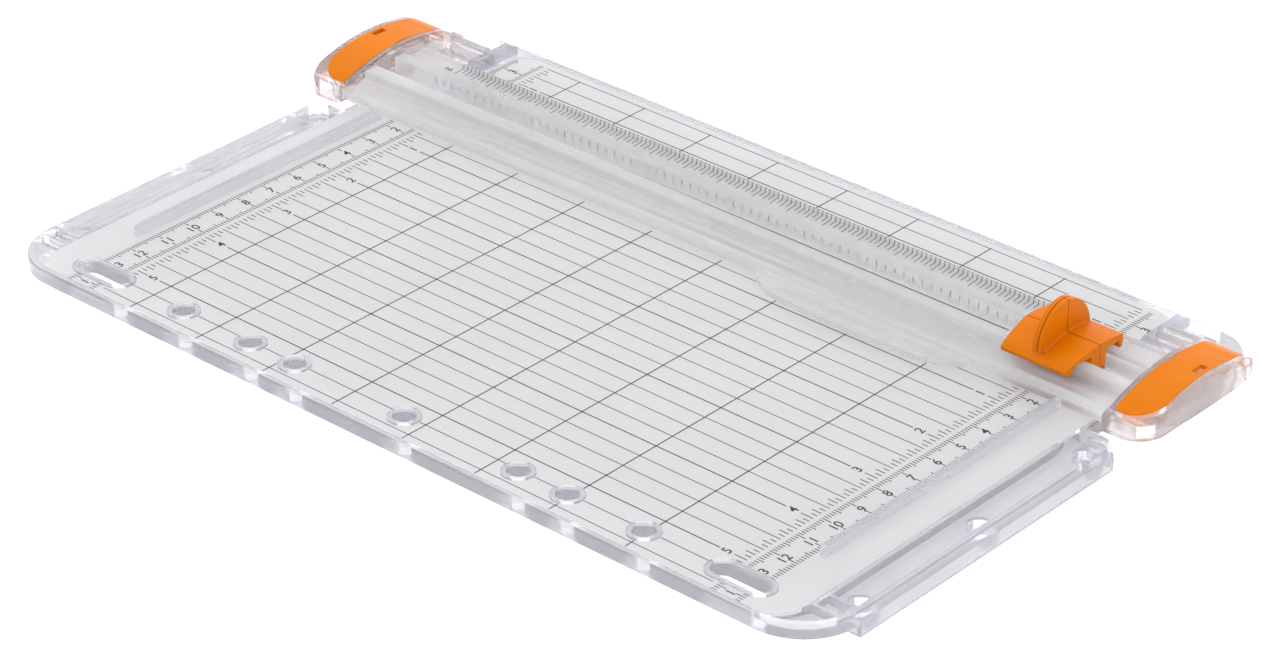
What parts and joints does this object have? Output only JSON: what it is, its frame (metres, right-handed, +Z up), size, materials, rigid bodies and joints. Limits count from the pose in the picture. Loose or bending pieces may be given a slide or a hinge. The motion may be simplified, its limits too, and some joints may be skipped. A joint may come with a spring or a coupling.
{
  "type": "rotary paper trimmer",
  "caption": "Clear paper trimmer with gridded deck, side fences, binder holes, hinged ruler rail with orange grip caps and a sliding press-down cutter.",
  "frame": {"origin": "middle of the footprint on the table", "axes": "+Z up, +X along the cut towards the end where the cutter is parked, -Y towards the user"},
  "size_m": [0.3036, 0.1882, 0.0285],
  "materials": {
    "clear_plastic": "clear gloss moulding",
    "printed_panel": "satin off-white with printed grid",
    "cutting_strip": "matte translucent grey",
    "orange_plastic": "semi-gloss orange moulding",
    "dark_plastic": "matte dark grey",
    "steel": "plain steel",
    "blade_steel": "ground steel",
    "dark_wire": "black",
    "rubber_foot": "matte translucent grey"
  },
  "bodies": {
    "base": {"base_tray": "clear_plastic", "front_grid_panel": "printed_panel", "rear_grid_panel": "printed_panel", "cutting_strip": "cutting_strip", "paper_fence_right": "clear_plastic", "paper_fence_left": "clear_plastic", "hinge_lug_right": "clear_plastic", "hinge_lug_left": "clear_plastic", "hinge_pins": "clear_plastic", "feet": "rubber_foot"},
    "rail_arm": {"cutting_rail": "clear_plastic", "cut_line_wire": "dark_wire", "end_cap_right": "clear_plastic", "end_cap_left": "clear_plastic", "grip_insert_right": "orange_plastic", "grip_insert_left": "orange_plastic", "cap_screws": "steel"},
    "glide": {"glide_shoe": "orange_plastic"},
    "carriage": {"carriage_front_shell": "orange_plastic", "carriage_rear_shell": "orange_plastic", "carriage_dowels": "steel", "blade_axle": "steel"},
    "cutter_wheel": {"blade_hub": "dark_plastic", "rotary_blade": "blade_steel"}
  },
  "joints": [
    {"name": "rail_lift", "type": "hinge", "parent": "base", "child": "rail_arm", "pos_m": [0, 0.07815, 0.0102], "axis": [-1, 0, 0], "range_deg": [0, 70]},
    {"name": "carriage_slide", "type": "slide", "parent": "rail_arm", "child": "glide", "axis": [1, 0, 0], "range_m": [-0.235, 0.0145]},
    {"name": "blade_press", "type": "slide", "parent": "glide", "child": "carriage", "axis": [0, 0, -1], "range_m": [0, 0.001], "stiffness_N_per_m": 1500},
    {"name": "blade_spin", "type": "hinge", "parent": "carriage", "child": "cutter_wheel", "pos_m": [0.1104, 0.05015, 0.0134], "axis": [0, 1, 0], "continuous": true}
  ]
}
